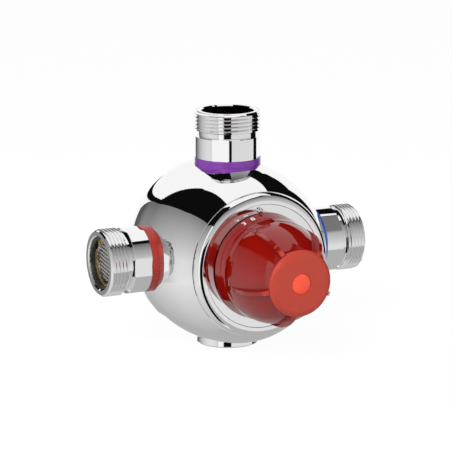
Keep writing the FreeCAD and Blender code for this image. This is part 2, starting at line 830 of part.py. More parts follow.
# Cartridge nut: screwed into the body over the sleeve's flange, with the spindle's neck and a stop lug
nut_foot = s.sleeve_seat + s.flange_thickness
spindle_bore = s.spindle_radius + s.run_gap
nut = turned("cartridge_nut", "front", [
    (s.nut_inner_radius, nut_foot),
    (s.nut_radius, nut_foot),
    *reversed(groove_steps(s.nut_radius, s.nut_groove, s.groove_width, s.groove_depth)),
    (s.nut_radius, s.nut_top),
    (s.nut_head_radius, s.nut_top),
    (s.nut_head_radius, s.nut_head_top),
    (s.nut_neck_radius, s.nut_head_top),
    (s.nut_neck_radius, s.nut_neck_top),
    (spindle_bore, s.nut_neck_top),
    (spindle_bore, s.nut_plate),
    (s.nut_inner_radius, s.nut_plate),
], KNOB_TURN)
lug = box_outline(-s.lug_outer, -s.lug_inner, -s.fixed_lug_half, s.fixed_lug_half)
lug_sketch = draw(sketch_on(nut, "XY_Plane", s.nut_head_top), lug)
extruded(nut, "PartDesign::Pad", lug_sketch, s.fixed_lug_top - s.nut_head_top)
seal("nut_seal", "front", s.nut_radius - s.cord_radius + s.fit_gap / 2, s.nut_groove, s.cord_radius)

# Cartridge sleeve: two outer seals part the galleries, three rows of windows, and keyways for the carrier
sleeve_radius = s.cavity_radius - s.fit_gap
sleeve = turned("cartridge_sleeve", "front", [
    (s.sleeve_bore, -s.sleeve_floor),
    (s.sleeve_bore, s.sleeve_top),
    (s.sleeve_tube_radius, s.sleeve_top),
    (s.sleeve_tube_radius, nut_foot),
    (s.nut_radius, nut_foot),
    (s.nut_radius, s.sleeve_seat),
    (sleeve_radius, s.sleeve_seat),
    *groove_steps(sleeve_radius, s.front_groove, s.groove_width, s.groove_depth),
    *groove_steps(sleeve_radius, s.rear_groove, s.groove_width, s.groove_depth),
    (sleeve_radius, -s.sleeve_foot),
    (0, -s.sleeve_foot),
    (0, -s.sleeve_floor),
])
for low, high in (
    (s.hot_window_low, s.hot_window_high),
    (s.cold_window_low, s.cold_window_high),
    (s.mixed_window_low, s.mixed_window_high),
):
    window = box_outline(-s.window_half_width, s.window_half_width, low, high)
    cut = extruded(sleeve, "PartDesign::Pocket", draw(sketch_on(sleeve, "YZ_Plane"), window), s.cavity_radius, True)
    repeated(sleeve, [cut], s.windows)
keyway = box_outline(-s.keyway_half_width, s.keyway_half_width, s.keyway_floor, s.sleeve_top)
cut = extruded(sleeve, "PartDesign::Pocket", draw(sketch_on(sleeve, "YZ_Plane"), keyway), s.keyway_radius, True)
repeated(sleeve, [cut], as_size(2))
sleeve_cord = sleeve_radius - s.cord_radius + s.fit_gap / 2
seal("hot_cold_seal", "front", sleeve_cord, s.front_groove, s.cord_radius)
seal("cold_mixed_seal", "front", sleeve_cord, s.rear_groove, s.cord_radius)

# Adjusting spindle: lead screw inside, thrust flange under the nut's plate, square shank for the knob
flange_top = s.nut_plate - s.fit_gap
flange_foot = flange_top - s.spindle_flange_thickness
cord_floor = s.spindle_radius - 2 * s.spindle_cord_radius
cord_half = s.spindle_cord_radius + s.fit_gap
screw_bore = s.screw_radius + s.fit_gap / 2
screw_foot = s.screw_seat - s.screw_length
spindle = turned("adjusting_spindle", "front", [
    (0, s.spindle_foot),
    (s.spindle_screw_radius - s.spindle_chamfer, s.spindle_foot),
    (s.spindle_screw_radius, s.spindle_foot + s.spindle_chamfer),
    (s.spindle_screw_radius, flange_foot),
    (s.spindle_flange_radius, flange_foot),
    (s.spindle_flange_radius, flange_top),
    (s.spindle_radius, flange_top),
    (s.spindle_radius, s.spindle_groove - cord_half),
    (cord_floor, s.spindle_groove - cord_half),
    (cord_floor, s.spindle_groove + cord_half),
    (s.spindle_radius, s.spindle_groove + cord_half),
    (s.spindle_radius, s.spindle_top),
    (screw_bore, s.spindle_top),
    (screw_bore, screw_foot - s.tapping_spare),
    (0, screw_foot - s.tapping_spare - screw_bore / 2),
], KNOB_TURN)
square_foot = s.nut_neck_top + s.fit_gap
flat = box_outline(s.square_half, s.spindle_radius + s.overcut, -s.spindle_radius, s.spindle_radius)
cut = extruded(spindle, "PartDesign::Pocket", draw(sketch_on(spindle, "XY_Plane", square_foot), flat),
               s.spindle_top - square_foot, True)
repeated(spindle, [cut], as_size(4))
seal("spindle_seal", "front", s.spindle_radius - s.spindle_cord_radius, s.spindle_groove, s.spindle_cord_radius)

# Setting carrier: keyed in the sleeve, screwed on the spindle, with the overtravel spring in its cup
slide_radius = s.sleeve_bore - s.run_gap
carrier = turned("setting_carrier", "front", [
    (s.spindle_screw_radius + s.run_gap, s.carrier_top),
    (s.spindle_screw_radius + s.run_gap, s.carrier_web),
    (s.cup_bore, s.carrier_web),
    (s.cup_bore, s.cup_foot + s.cup_lip),
    (s.cup_lip_bore, s.cup_foot + s.cup_lip),
    (s.cup_lip_bore, s.cup_foot),
    (s.cup_radius, s.cup_foot),
    (s.cup_radius, s.carrier_shoulder),
    (slide_radius, s.carrier_shoulder),
    (slide_radius, s.carrier_top),
])
key_half = s.keyway_half_width - s.fit_gap
key = box_outline(s.cup_radius, s.keyway_radius - 2 * s.fit_gap, -key_half, key_half)
pad = extruded(carrier, "PartDesign::Pad", draw(sketch_on(carrier, "XY_Plane", s.key_foot), key), s.key_length)
repeated(carrier, [pad], as_size(2))

plunger_foot = s.cup_foot + s.cup_lip
plunger_top = plunger_foot + s.plunger_thickness
turned("overtravel_plunger", "front", [
    (0, plunger_foot),
    (s.cup_bore - s.fit_gap, plunger_foot),
    (s.cup_bore - s.fit_gap, plunger_top),
    (s.plunger_boss_radius, plunger_top),
    (s.plunger_boss_radius, plunger_top + s.plunger_boss_height),
    (0, plunger_top + s.plunger_boss_height),
])
coil("overtravel_spring", "front", s.overtravel_coil_radius, s.overtravel_wire_half,
     plunger_top, s.carrier_web, s.overtravel_turns)

# Mixing piston, moved by the sensing element and returned by the long spring behind it
piston = turned("mixing_piston", "front", [
    (s.element_nose_radius + s.fit_gap, s.piston_low),
    (slide_radius, s.piston_low),
    (slide_radius, s.piston_high),
    (slide_radius - s.piston_wall, s.piston_high),
    (slide_radius - s.piston_wall, s.piston_low + s.piston_web),
    (s.element_nose_radius + s.fit_gap, s.piston_low + s.piston_web),
])
hole = draw_circle(sketch_on(piston, "XY_Plane", s.piston_low), s.piston_hole_circle, 0, s.piston_hole_radius)
cut = extruded(piston, "PartDesign::Pocket", hole, s.piston_web + s.overcut, True)
repeated(piston, [cut], s.piston_holes)
turned("sensing_element", "front", [
    (0, s.element_foot),
    (s.element_radius - s.element_chamfer, s.element_foot),
    (s.element_radius, s.element_foot + s.element_chamfer),
    (s.element_radius, s.piston_low - s.element_flange_thickness),
    (s.element_flange_radius, s.piston_low - s.element_flange_thickness),
    (s.element_flange_radius, s.piston_low),
    (s.element_nose_radius, s.piston_low),
    (s.element_nose_radius, s.piston_low + s.element_nose_length),
    (s.element_pin_radius, s.piston_low + s.element_nose_length),
    (s.element_pin_radius, plunger_foot - s.fit_gap / 2),
    (0, plunger_foot - s.fit_gap / 2),
])
coil("return_spring", "front", s.return_coil_radius, s.return_wire_half,
     -s.sleeve_floor, s.piston_low, s.return_turns)

# Knob: hollow moulding with a skirt, a dome, five grip fins, thumb notches and a flat cap
skirt_base = recess_face + s.skirt_lift
dome_centre = s.lip_radius - s.dome_radius
neck_radius = dome_centre + leg(s.dome_radius, s.neck_depth - s.dome_start)
inner_radius = s.dome_radius - s.knob_wall
cavity_edge = dome_centre + leg(inner_radius, s.knob_cavity_top - s.dome_start)
knob = turned("control_knob", "front", [
    (0, skirt_base),
    (s.skirt_radius, skirt_base),
    (s.skirt_radius, skirt_base + s.skirt_edge),
    (s.lip_radius, s.lip_depth),
    (s.lip_radius, s.dome_start),
    arc_to(neck_radius, s.neck_depth, s.dome_radius, 1),
    arc_to(s.cap_radius - s.cap_flare, s.neck_depth + s.neck_rise, s.neck_fillet, -1),
    (s.cap_radius, s.cap_face - s.cap_edge_drop),
    arc_to(s.cap_radius - s.cap_edge_width, s.cap_face, bow_radius(s.cap_edge_width, s.cap_edge_drop), 1),
    (0, s.cap_face),
], KNOB_TURN)
fin = [
    (s.lip_radius - s.knob_wall / 2, s.fin_foot),
    (s.lip_radius, s.fin_foot),
    arc_to(s.fin_peak_radius, s.fin_peak, s.fin_back_arc, 1),
    arc_to(s.fin_end_radius, s.fin_end, s.fin_tip_arc, 1),
    (neck_radius - s.knob_wall, s.neck_depth),
    (cavity_edge + s.knob_wall / 2, s.knob_cavity_top),
]
fin_sketch = draw(sketch_on(knob, "XZ_Plane"), fin)
fin_pad = extruded(knob, "PartDesign::Pad", fin_sketch, s.fin_thickness, midplane=True)
repeated(knob, [fin_pad], s.fins)
notch_shoulder = s.lip_depth + s.notch_side
notch_bow = bow_radius(s.notch_half_width, s.notch_height - s.notch_side)
notch = [
    (-s.notch_half_width, s.lip_depth),
    (s.notch_half_width, s.lip_depth),
    (s.notch_half_width, notch_shoulder),
    arc_to(-s.notch_half_width, notch_shoulder, notch_bow, 1),
]
notch_sketch = draw(sketch_on(knob, "YZ_Plane", s.notch_floor, SIZES["notch_degrees"]), notch)
notch_cut = extruded(knob, "PartDesign::Pocket", notch_sketch, s.knob_wall * 2, True)
repeated(knob, [notch_cut], s.fins)
hub_foot = s.nut_neck_top + s.free_gap
below_skirt = skirt_base - s.overcut
grooved(knob, [
    (0, below_skirt),
    (s.lip_radius - s.knob_wall, below_skirt),
    (s.lip_radius - s.knob_wall, s.dome_start),
    arc_to(cavity_edge, s.knob_cavity_top, inner_radius, 1),
    (s.hub_shoulder_radius, s.knob_cavity_top),
    (s.hub_shoulder_radius, s.hub_shoulder),
    (s.hub_radius, s.hub_shoulder),
    (s.hub_radius, hub_foot),
    (0, hub_foot),
])
screw_hole = s.screw_radius + s.free_gap
button_bore = s.button_radius + s.fit_gap
grooved(knob, [
    (0, s.socket_top - s.overcut),
    (screw_hole, s.socket_top - s.overcut),
    (screw_hole, s.screw_seat),
    (s.well_radius + s.fit_gap, s.screw_seat),
    (s.well_radius + s.fit_gap, s.button_seat),
    (button_bore, s.button_seat),
    (button_bore, s.cap_face + s.overcut),
    (0, s.cap_face + s.overcut),
])
square = s.square_half + s.fit_gap / 2
socket = draw(sketch_on(knob, "XY_Plane", hub_foot), box_outline(-square, square, -square, square))
extruded(knob, "PartDesign::Pocket", socket, s.socket_top - hub_foot, True)

# Button that covers the knob's screw
turned("knob_button", "front", [
    (0, s.button_seat - s.button_stem_length),
    (s.well_radius, s.button_seat - s.button_stem_length),
    (s.well_radius, s.button_seat),
    (s.button_radius, s.button_seat),
    (s.button_radius, s.button_edge),
    arc_to(0, s.button_crown, bow_radius(s.button_radius, s.button_crown - s.button_edge), 1),
], KNOB_TURN)
turned("knob_screw", "front", [
    (0, screw_foot),
    (s.screw_radius, screw_foot),
    (s.screw_radius, s.screw_seat),
    (s.screw_head_radius, s.screw_seat),
    (s.screw_head_radius, s.screw_seat + s.screw_head_height),
    (0, s.screw_seat + s.screw_head_height),
], KNOB_TURN)

# Stop ring on the knob's hub: its lug meets the nut's lug at both ends of the knob's travel
ring_foot = s.hub_shoulder - s.stop_ring_thickness
stop_ring = turned("stop_ring", "front", [
    (s.hub_radius + s.fit_gap, ring_foot),
    (s.stop_ring_radius, ring_foot),
    (s.stop_ring_radius, s.hub_shoulder),
    (s.hub_radius + s.fit_gap, s.hub_shoulder),
], KNOB_TURN)
lug = box_outline(s.lug_inner, s.lug_outer - s.fit_gap, -s.moving_lug_half, s.moving_lug_half)
lug_sketch = draw(sketch_on(stop_ring, "XY_Plane", s.moving_lug_foot), lug)
extruded(stop_ring, "PartDesign::Pad", lug_sketch, ring_foot - s.moving_lug_foot)

doc.recompute()
faults = [obj.Name for obj in doc.Objects if "Invalid" in obj.State or "Error" in obj.State]
if faults:
    raise RuntimeError(f"objects that failed: {faults}")
for piece in pieces:
    if piece.Shape.isNull() or not piece.Shape.isValid() or not piece.Shape.Solids:
        raise RuntimeError(f"{piece.Label} has no valid solid")

os.makedirs("parts", exist_ok=True)
for piece in pieces:
    piece.Shape.exportStep(f"parts/{piece.Label}.step")
    print(piece.Label, len(piece.Shape.Solids), "solid", round(piece.Shape.Volume), "mm3")
print(len(pieces), "pieces")
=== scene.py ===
# %% [markdown]
# # A temperature-controlled mixing valve in polished chrome
#
# The valve is a mirror-bright ball with three threaded unions: hot water comes in from the left,
# cold water from the right, and mixed water leaves at the top. A red knob in front sets the temperature.
# The exact solids are loaded first. They stay where they are, and every new piece is built around them.

# %% Load the solids and keep their box
import json
import math

import bmesh
import bpy
from mathutils import Matrix, Vector


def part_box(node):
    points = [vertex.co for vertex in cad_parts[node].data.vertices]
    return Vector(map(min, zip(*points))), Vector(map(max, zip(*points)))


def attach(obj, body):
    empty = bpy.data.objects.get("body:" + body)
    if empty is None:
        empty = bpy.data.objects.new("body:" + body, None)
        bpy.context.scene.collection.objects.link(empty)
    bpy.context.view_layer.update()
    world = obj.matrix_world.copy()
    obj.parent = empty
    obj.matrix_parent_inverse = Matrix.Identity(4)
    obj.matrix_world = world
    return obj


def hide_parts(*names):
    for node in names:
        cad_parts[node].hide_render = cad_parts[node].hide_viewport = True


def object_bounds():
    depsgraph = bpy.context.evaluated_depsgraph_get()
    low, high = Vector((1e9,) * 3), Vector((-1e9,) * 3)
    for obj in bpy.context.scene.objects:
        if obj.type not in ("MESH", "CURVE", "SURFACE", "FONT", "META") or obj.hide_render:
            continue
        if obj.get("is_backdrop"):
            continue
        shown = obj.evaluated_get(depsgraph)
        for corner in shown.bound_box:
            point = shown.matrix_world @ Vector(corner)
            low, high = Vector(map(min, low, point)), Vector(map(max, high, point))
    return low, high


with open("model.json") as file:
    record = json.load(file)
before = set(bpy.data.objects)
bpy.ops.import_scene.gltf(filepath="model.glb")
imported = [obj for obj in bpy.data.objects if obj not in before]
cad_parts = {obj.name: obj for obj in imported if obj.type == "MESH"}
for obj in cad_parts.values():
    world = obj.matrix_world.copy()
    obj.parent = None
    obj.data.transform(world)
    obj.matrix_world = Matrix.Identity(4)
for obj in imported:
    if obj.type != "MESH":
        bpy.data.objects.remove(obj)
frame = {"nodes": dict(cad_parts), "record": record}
nodes = frame["nodes"]


def plain_box():
    """The whole object's box as plain numbers."""
    return [[float(value) for value in corner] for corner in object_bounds()]


cad_box = plain_box()
MM = 0.001
print(len(nodes), "solids, box", cad_box)

# %% [markdown]
# ## The camera
#
# The view looks down a little and from the left, through a long lens, so the far union is hardly
# smaller than the near one. A camera can be aimed with a Track To constraint, or turned by its own
# angles. Angles are used here, because the view was worked out as an azimuth and an elevation.

# %% Place the camera
VIEW_AZIMUTH = math.radians(-25.70)
VIEW_ELEVATION = math.radians(12.72)
VIEW_DISTANCE = 1.5901
VIEW_ACROSS = -0.001006
VIEW_ABOVE = 0.014536
SENSOR_WIDTH = 36.0
FOCAL_LENGTH = 201.35
FARTHEST_SEEN = 20.0

camera_data = bpy.data.cameras.new("view")
camera_data.sensor_width = SENSOR_WIDTH
camera_data.lens = FOCAL_LENGTH
camera_data.clip_end = FARTHEST_SEEN
camera = bpy.data.objects.new("view", camera_data)
bpy.context.scene.collection.objects.link(camera)
camera.rotation_euler = (math.pi / 2 - VIEW_ELEVATION, 0, VIEW_AZIMUTH)
view_axes = camera.rotation_euler.to_matrix()
camera.location = view_axes @ Vector((VIEW_ACROSS, VIEW_ABOVE, VIEW_DISTANCE))
bpy.context.scene.camera = camera
bpy.context.scene.view_settings.view_transform = "Standard"
print("camera at", [round(value, 3) for value in camera.location])

# %% [markdown]
# ## Helpers for finishes
#
# Every finish below is one Principled shader with a few texture nodes. The textures read Object
# coordinates, in metres, so a pattern keeps its real size on every piece.

# %% Helpers that make materials
NOISE_LOW, NOISE_HIGH = 0.3, 0.7


def new_material(name, **sockets):
    """A material with its Principled shader and the constant values on the shader's own sockets."""
    material = bpy.data.materials.new(name)
    material.use_nodes = True
    shader = material.node_tree.nodes["Principled BSDF"]
    for socket, value in sockets.items():
        shader.inputs[socket.replace("_", " ")].default_value = value
    return material, shader


def add_node(material, kind, **settings):
    """A new node in a material, with its settings."""
    node = material.node_tree.nodes.new(kind)
    for name, value in settings.items():
        setattr(node, name, value)
    return node


def link(material, source, target):
    """A wire from one socket to another."""
    material.node_tree.links.new(source, target)


def noise(material, size, detail=3.0):
    """Cloudy noise on Object coordinates, with features about as large as the size given in metres."""
    coordinates = add_node(material, "ShaderNodeTexCoord")
    texture = add_node(material, "ShaderNodeTexNoise")
    texture.inputs["Scale"].default_value = 1 / size
    texture.inputs["Detail"].default_value = detail
    link(material, coordinates.outputs["Object"], texture.inputs["Vector"])
    return texture.outputs["Fac"]


def remap(material, value, low, high):
    """A noise value stretched from its usual middle range to low and high."""
    node = add_node(material, "ShaderNodeMapRange")
    node.inputs["From Min"].default_value = NOISE_LOW
    node.inputs["From Max"].default_value = NOISE_HIGH
    node.inputs["To Min"].default_value = low
    node.inputs["To Max"].default_value = high
    link(material, value, node.inputs["Value"])
    return node.outputs["Result"]


def two_tone(material, shader, fac, first, second):
    """A base colour that runs between two colours."""
    ramp = add_node(material, "ShaderNodeMix", data_type="RGBA")
    ramp.inputs["A"].default_value = (*first, 1)
    ramp.inputs["B"].default_value = (*second, 1)
    link(material, fac, ramp.inputs["Factor"])
    link(material, ramp.outputs["Result"], shader.inputs["Base Color"])


def bumpy(material, shader, height, distance):
    """Fine relief, as deep as the distance given in metres."""
    bump = add_node(material, "ShaderNodeBump")
    bump.inputs["Distance"].default_value = distance
    bump.inputs["Strength"].default_value = 1.0
    link(material, height, bump.inputs["Height"])
    link(material, bump.outputs["Normal"], shader.inputs["Normal"])


print("material helpers ready")

# %% [markdown]
# ## Chrome and the other metals
#
# Bright chrome plating is a mirror. It has hardly any colour of its own, so what it shows is the
# room. The plating still isn't perfect: its roughness changes a little from place to place, and a
# polished casting keeps a very faint waviness under the plate.

# %% Make the metals
def metal(name, first, second, rough, patch, wave):
    """A metal of two close tones, with a range of roughness and a faint waviness."""
    material, shader = new_material(name, Metallic=1.0)
    two_tone(material, shader, noise(material, patch), first, second)
    link(material, remap(material, noise(material, patch / 2), *rough), shader.inputs["Roughness"])
    bumpy(material, shader, noise(material, patch * 2), wave)
    return material


chrome = metal("polished chrome", (0.88, 0.88, 0.89), (0.93, 0.93, 0.935), (0.015, 0.04), 0.02, 0.000003)
thread_chrome = metal(
    "chrome in the thread", (0.60, 0.60, 0.61), (0.74, 0.74, 0.74), (0.10, 0.20), 0.004, 0.00001)
bright_brass = metal("bright brass", (0.84, 0.55, 0.17), (0.94, 0.68, 0.27), (0.28, 0.40), 0.003, 0.00002)
turned_brass = metal("turned brass", (0.50, 0.33, 0.12), (0.66, 0.45, 0.18), (0.25, 0.4), 0.006, 0.00002)
steel = metal("stainless steel", (0.50, 0.50, 0.50), (0.66, 0.66, 0.65), (0.2, 0.35), 0.004, 0.00001)
mesh_steel = metal("woven steel wire", (0.62, 0.62, 0.62), (0.80, 0.80, 0.79), (0.15, 0.28), 0.004, 0.00001)
print("six metals")

# %% [markdown]
# ## Moulded plastics and rubber
#
# The rings and the knob are moulded. Plastic is glossy where the mould was polished and silky where
# it was blasted, so each one differs in roughness and in the depth of its grain.

# %% Make the plastics
CLOUD_SIZE = 0.012
GRAIN_DETAIL = 6.0


def plastic(name, first, second, rough, grain, relief):
    """A plastic of two close tones, with a range of roughness and a fine grain."""
    material, shader = new_material(name)
    two_tone(material, shader, noise(material, CLOUD_SIZE), first, second)
    link(material, remap(material, noise(material, CLOUD_SIZE / 3), *rough), shader.inputs["Roughness"])
    bumpy(material, shader, noise(material, grain, GRAIN_DETAIL), relief)
    return material


purple_plastic = plastic(
    "purple ring", (0.14, 0.022, 0.25), (0.18, 0.032, 0.31), (0.22, 0.34), 0.0004, 0.00001)
blue_plastic = plastic("blue ring", (0.011, 0.07, 0.34), (0.018, 0.10, 0.44), (0.22, 0.34), 0.0004, 0.00001)
red_plastic = plastic("red ring", (0.28, 0.018, 0.011), (0.36, 0.026, 0.016), (0.24, 0.36), 0.0004, 0.00001)
black_plastic = plastic(
    "black plastic", (0.010, 0.010, 0.011), (0.022, 0.022, 0.023), (0.3, 0.45), 0.0005, 0.00002)
pale_plastic = plastic("pale plastic", (0.60, 0.60, 0.57), (0.72, 0.72, 0.70), (0.35, 0.5), 0.0005, 0.00002)
rubber = plastic("black rubber", (0.012, 0.012, 0.012), (0.030, 0.030, 0.030), (0.55, 0.75), 0.0004, 0.00004)
button_plastic = plastic(
    "orange-red button", (0.66, 0.055, 0.020), (0.76, 0.075, 0.028), (0.28, 0.4), 0.0004, 0.00001)
white_ink = plastic("white print", (0.72, 0.72, 0.70), (0.84, 0.84, 0.82), (0.4, 0.55), 0.0002, 0.000005)
print("eight plastics")

# %% [markdown]
# The knob is one moulding with two surfaces: its flat cap is silky and its dome is glossy. Both are the
# same red plastic, but the cap's colour is painted lighter, as painted light, and the dome's is painted
# darker, as painted shade. One material does all of it: the depth along the knob's own axis, which is Y,
# says where the gloss and the painted shade end, so the border stays on the cap's edge when the knob turns.

# %% Make the knob's plastic
CAP_BORDER = -0.0952
BORDER_SOFTNESS = 0.0012
# The dome's colour is painted shade and the cap's is painted light: one red plastic, drawn darker on the dome
# and lighter on the cap.
DOME_PAINTED_SHADE = (0.20, 0.004, 0.002)
CAP_PAINTED_LIGHT = (0.37, 0.034, 0.018)
KNOB_GRAIN = 0.0004
KNOB_RELIEF = 0.000006

knob_plastic, knob_shader = new_material(
    "red knob", Coat_Roughness=0.02, Coat_IOR=1.5, Specular_IOR_Level=0.4)
knob_place = add_node(knob_plastic, "ShaderNodeTexCoord")
knob_axis = add_node(knob_plastic, "ShaderNodeSeparateXYZ")
cap_mask = add_node(knob_plastic, "ShaderNodeMapRange", interpolation_type="SMOOTHSTEP")
cap_mask.inputs["From Min"].default_value = CAP_BORDER + BORDER_SOFTNESS
cap_mask.inputs["From Max"].default_value = CAP_BORDER - BORDER_SOFTNESS
link(knob_plastic, knob_place.outputs["Object"], knob_axis.inputs["Vector"])
link(knob_plastic, knob_axis.outputs["Y"], cap_mask.inputs["Value"])
# Painted shade on the dome and painted light on the cap, parted at the cap's border.
two_tone(knob_plastic, knob_shader, cap_mask.outputs["Result"], DOME_PAINTED_SHADE, CAP_PAINTED_LIGHT)
for socket, on_dome, on_cap in (("Roughness", 0.06, 0.42), ("Coat Weight", 0.55, 0.0)):
    change = add_node(knob_plastic, "ShaderNodeMapRange")
    change.inputs["To Min"].default_value = on_dome
    change.inputs["To Max"].default_value = on_cap
    link(knob_plastic, cap_mask.outputs["Result"], change.inputs["Value"])
    link(knob_plastic, change.outputs["Result"], knob_shader.inputs[socket])
bumpy(knob_plastic, knob_shader, noise(knob_plastic, KNOB_GRAIN, GRAIN_DETAIL), KNOB_RELIEF)
print("knob plastic, silky beyond y", CAP_BORDER)

# %% [markdown]
# ## Give every solid its finish
#
# The record says which stock each solid is made of. The snap rings are a brighter brass than the
# rest.

# %% Dress the solids
FINISHES = {
    "chrome": chrome,
    "red_knob": knob_plastic,
    "red_button": button_plastic,
    "red_ring": red_plastic,
    "blue_ring": blue_plastic,
    "purple_ring": purple_plastic,
    "black_plastic": black_plastic,
    "black_rubber": rubber,
    "brass": turned_brass,
    "steel": steel,
    "white_plastic": pale_plastic,
}


def dress(piece, material):
    """One material all over a piece."""
    piece.data.materials.clear()
    piece.data.materials.append(material)


for subpart in frame["record"]["subparts"]:
    dress(nodes[subpart["node"]], FINISHES[subpart["material_slot"]])
for name in ("hot_snap_ring", "cold_snap_ring"):
    dress(nodes[name], bright_brass)

# %% [markdown]
# ## Helpers for new pieces
#
# The solids are shaded smooth already. A new piece is built as a bmesh, and then needs the same
# care: its gentle edges are shaded smooth, while edges sharper than a limit stay crisp.

# %% Helpers that finish and place a piece
CRISP_ANGLE = math.radians(32)
WELD = 0.000002


def finish_mesh(bm, name, material, crisp=CRISP_ANGLE):
    """A finished piece from a bmesh, with smooth shading and crisp edges."""
    for face in bm.faces:
        face.smooth = True
    for edge in bm.edges:
        limit = crisp(edge) if callable(crisp) else crisp
        edge.smooth = len(edge.link_faces) == 2 and edge.calc_face_angle() < limit
    mesh = bpy.data.meshes.new(name)
    bm.to_mesh(mesh)
    bm.free()
    piece = bpy.data.objects.new(name, mesh)
    bpy.context.scene.collection.objects.link(piece)
    dress(piece, material)
    return piece


def place(piece, body, slot_name, *replaced):
    """A piece rides on its body and may stand for solids, which are hidden. The slot name is not used."""
    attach(piece, body)
    if replaced:
        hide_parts(*replaced)
    return piece


print("piece helpers ready")

# %% [markdown]
# ## The male pipe threads
#
# Each union ends in a pipe thread of 11 turns to the inch, with flanks at 55 degrees and rounded
# crests. The solids have a plain cylinder there, as large as the crests. A thread could be faked
# with a bump texture, but its outline shows against the background, so it is real geometry: one
# tooth is drawn as a small loop and spun round the port while it also climbs, which makes a screw.

# %% Cut one thread
THREAD_PITCH = 2.309 * MM
THREAD_LENGTH = 12.6 * MM
CORE_RADIUS = 19.476 * MM
FACE_RADIUS = 19.655 * MM
STEPS_A_TURN = 72
SPARE_TURNS = 2
COPIED, THREADED = 0, 1
AXES = {"hot": Vector((-1, 0, 0)), "cold": Vector((1, 0, 0)), "mixed": Vector((0, 0, 1))}
SQUARE = Vector((0, -1, 0))
TOOTH = [
    (-1.06, -0.10), (-0.90, 0.03), (-0.31, 1.20), (-0.21, 1.40), (-0.08, 1.479),
    (0.08, 1.479), (0.21, 1.40), (0.31, 1.20), (0.90, 0.03), (1.06, -0.10),
]


def thread_bmesh(axis, mouth):
    """A right-hand screw thread that ends at the mouth."""
    bm = bmesh.new()
    start = mouth - THREAD_LENGTH
    first = start - THREAD_PITCH
    turns = math.ceil(THREAD_LENGTH / THREAD_PITCH) + SPARE_TURNS
    loop = [
        bm.verts.new(axis * (first + along * MM) + SQUARE * (CORE_RADIUS + out * MM))
        for along, out in TOOTH
    ]
    edges = [bm.edges.new((loop[index - 1], loop[index])) for index in range(len(loop))]
    steps = turns * STEPS_A_TURN
    climb = axis * (THREAD_PITCH / STEPS_A_TURN)
    bmesh.ops.spin(
        bm, geom=loop + edges, cent=(0, 0, 0), axis=axis, dvec=climb, angle=turns * math.tau, steps=steps)
    for height, side in ((start, -1), (mouth, 1)):
        everything = bm.verts[:] + bm.edges[:] + bm.faces[:]
        bmesh.ops.bisect_plane(
            bm, geom=everything, plane_co=axis * height, plane_no=axis * side, clear_outer=True)
    # Both ends are chamfered, the inner one more steeply.
    for vert in bm.verts:
        height = vert.co.dot(axis)
        out = vert.co - axis * height
        limit = FACE_RADIUS + min(mouth - height, 2 * (height - start))
        if out.length > limit:
            vert.co = axis * height + out.normalized() * limit
    open_edges = [edge for edge in bm.edges if edge.is_boundary]
    bmesh.ops.holes_fill(bm, edges=open_edges)
    bmesh.ops.recalc_face_normals(bm, faces=bm.faces)
    for face in bm.faces:
        face.material_index = THREADED
    return bm


print("a tooth of", len(TOOTH), "points")

# %% [markdown]
# ## The wrench collars
#
# Between its thread and its coloured ring a union is a plain round collar, as wide as the ring, with
# flats for the wrench. On the real union the round and the flats share one crisp edge, which the
# mirror shows as a jump from a soft gradient to one even tone. The collar is a section that is spun
# once round the port, and its flats come from pressing every point that stands too far out back to
# the plane of the flat. The solids have six deeper flats here instead.

# %% Helpers that spin a ring and press flats on it
RING_STEPS = 144


def spun(bm, axis, section, steps=RING_STEPS):
    """A closed section of heights and radii, in millimetres, spun once round an axis."""
    loop = [bm.verts.new(axis * (height * MM) + SQUARE * (radius * MM)) for height, radius in section]
    edges = [bm.edges.new((loop[index - 1], loop[index])) for index in range(len(loop))]
    before = set(bm.faces)
    bmesh.ops.spin(
        bm, geom=loop + edges, cent=(0, 0, 0), axis=axis, angle=math.tau, steps=steps, use_merge=True)
    faces = [face for face in bm.faces if face not in before]
    bmesh.ops.recalc_face_normals(bm, faces=faces)
    return faces


def press_flats(faces, axis, turn, apothem, count):
    """Flats round an axis, at the same distance from it."""
    verts = {vert for face in faces for vert in face.verts}
    for index in range(count):
        way = Matrix.Rotation(math.radians(turn + 360 / count * index), 3, axis) @ SQUARE
        for vert in verts:
            excess = vert.co.dot(way) - apothem * MM
            if excess > 0:
                vert.co -= way * excess


print("ring helpers ready")

# %% [markdown]
# A union is copied from its solid, and the parts of the copy that the finer pieces cover are drawn in
# under them. Cutting them away would leave open edges. The thread and the collar are joined to the
# copy in one mesh, and a second material slot carries the duller chrome of the thread.

# %% Dress the three unions
COLLAR_RADIUS = 20.55
COLLAR_BORE = 17.4
COLLAR_EDGE = 0.25
COLLAR_FLAT = 19.66
COLLAR_FLATS = 4
COLLAR_TURN = {"hot": -2.7, "cold": 48.0, "mixed": -39.2}
RING_GROWTH = {"hot": 2.4, "cold": 2.4, "mixed": 0.0}
UNDERCUT_LENGTH = 3.3
UNDERCUT_EDGE = 18.6
FLAT_CRISP = math.radians(11)


def union_crisp(edge):
    """The round crests of a thread stay smooth, and the gentle corners of a flat stay crisp."""
    threaded = any(face.material_index == THREADED for face in edge.link_faces)
    return CRISP_ANGLE if threaded else FLAT_CRISP


def drawn_in(bm, axis, low, high, beyond, radius):
    """Points of the copied solid between two heights that stand out too far, drawn in to a radius."""
    for vert in bm.verts:
        height = vert.co.dot(axis)
        out = vert.co - axis * height
        copied = all(face.material_index == COPIED for face in vert.link_faces)
        if copied and low - WELD < height < high + WELD and out.length > beyond:
            vert.co = axis * height + out.normalized() * radius


